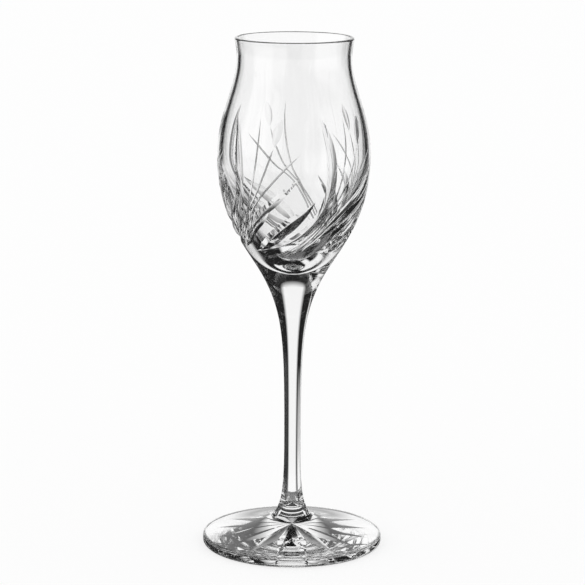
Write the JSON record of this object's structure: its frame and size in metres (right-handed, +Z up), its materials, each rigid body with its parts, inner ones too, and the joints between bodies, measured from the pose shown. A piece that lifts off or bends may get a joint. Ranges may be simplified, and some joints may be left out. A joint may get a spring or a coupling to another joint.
{
  "type": "schnapps glass",
  "caption": "Stemmed schnapps glass in clear cut crystal: tulip bowl with a flared lip, slender drawn stem, and a round foot with a star cut into its underside.",
  "frame": {"origin": "centre of the foot's underside, on the table", "axes": "+Z up along the glass's axis of revolution, +X to the right and -Y towards the viewer of the picture"},
  "size_m": [0.0668, 0.0668, 0.19],
  "materials": {
    "bowl_crystal": "blown lead crystal, fire-polished, with polished wheel cuts",
    "stem_crystal": "drawn lead crystal, fire-polished",
    "foot_crystal": "lead crystal, fire-polished, with a polished star cut"
  },
  "bodies": {
    "root": {"bowl": "bowl_crystal", "stem": "stem_crystal", "foot": "foot_crystal"}
  },
  "joints": []
}
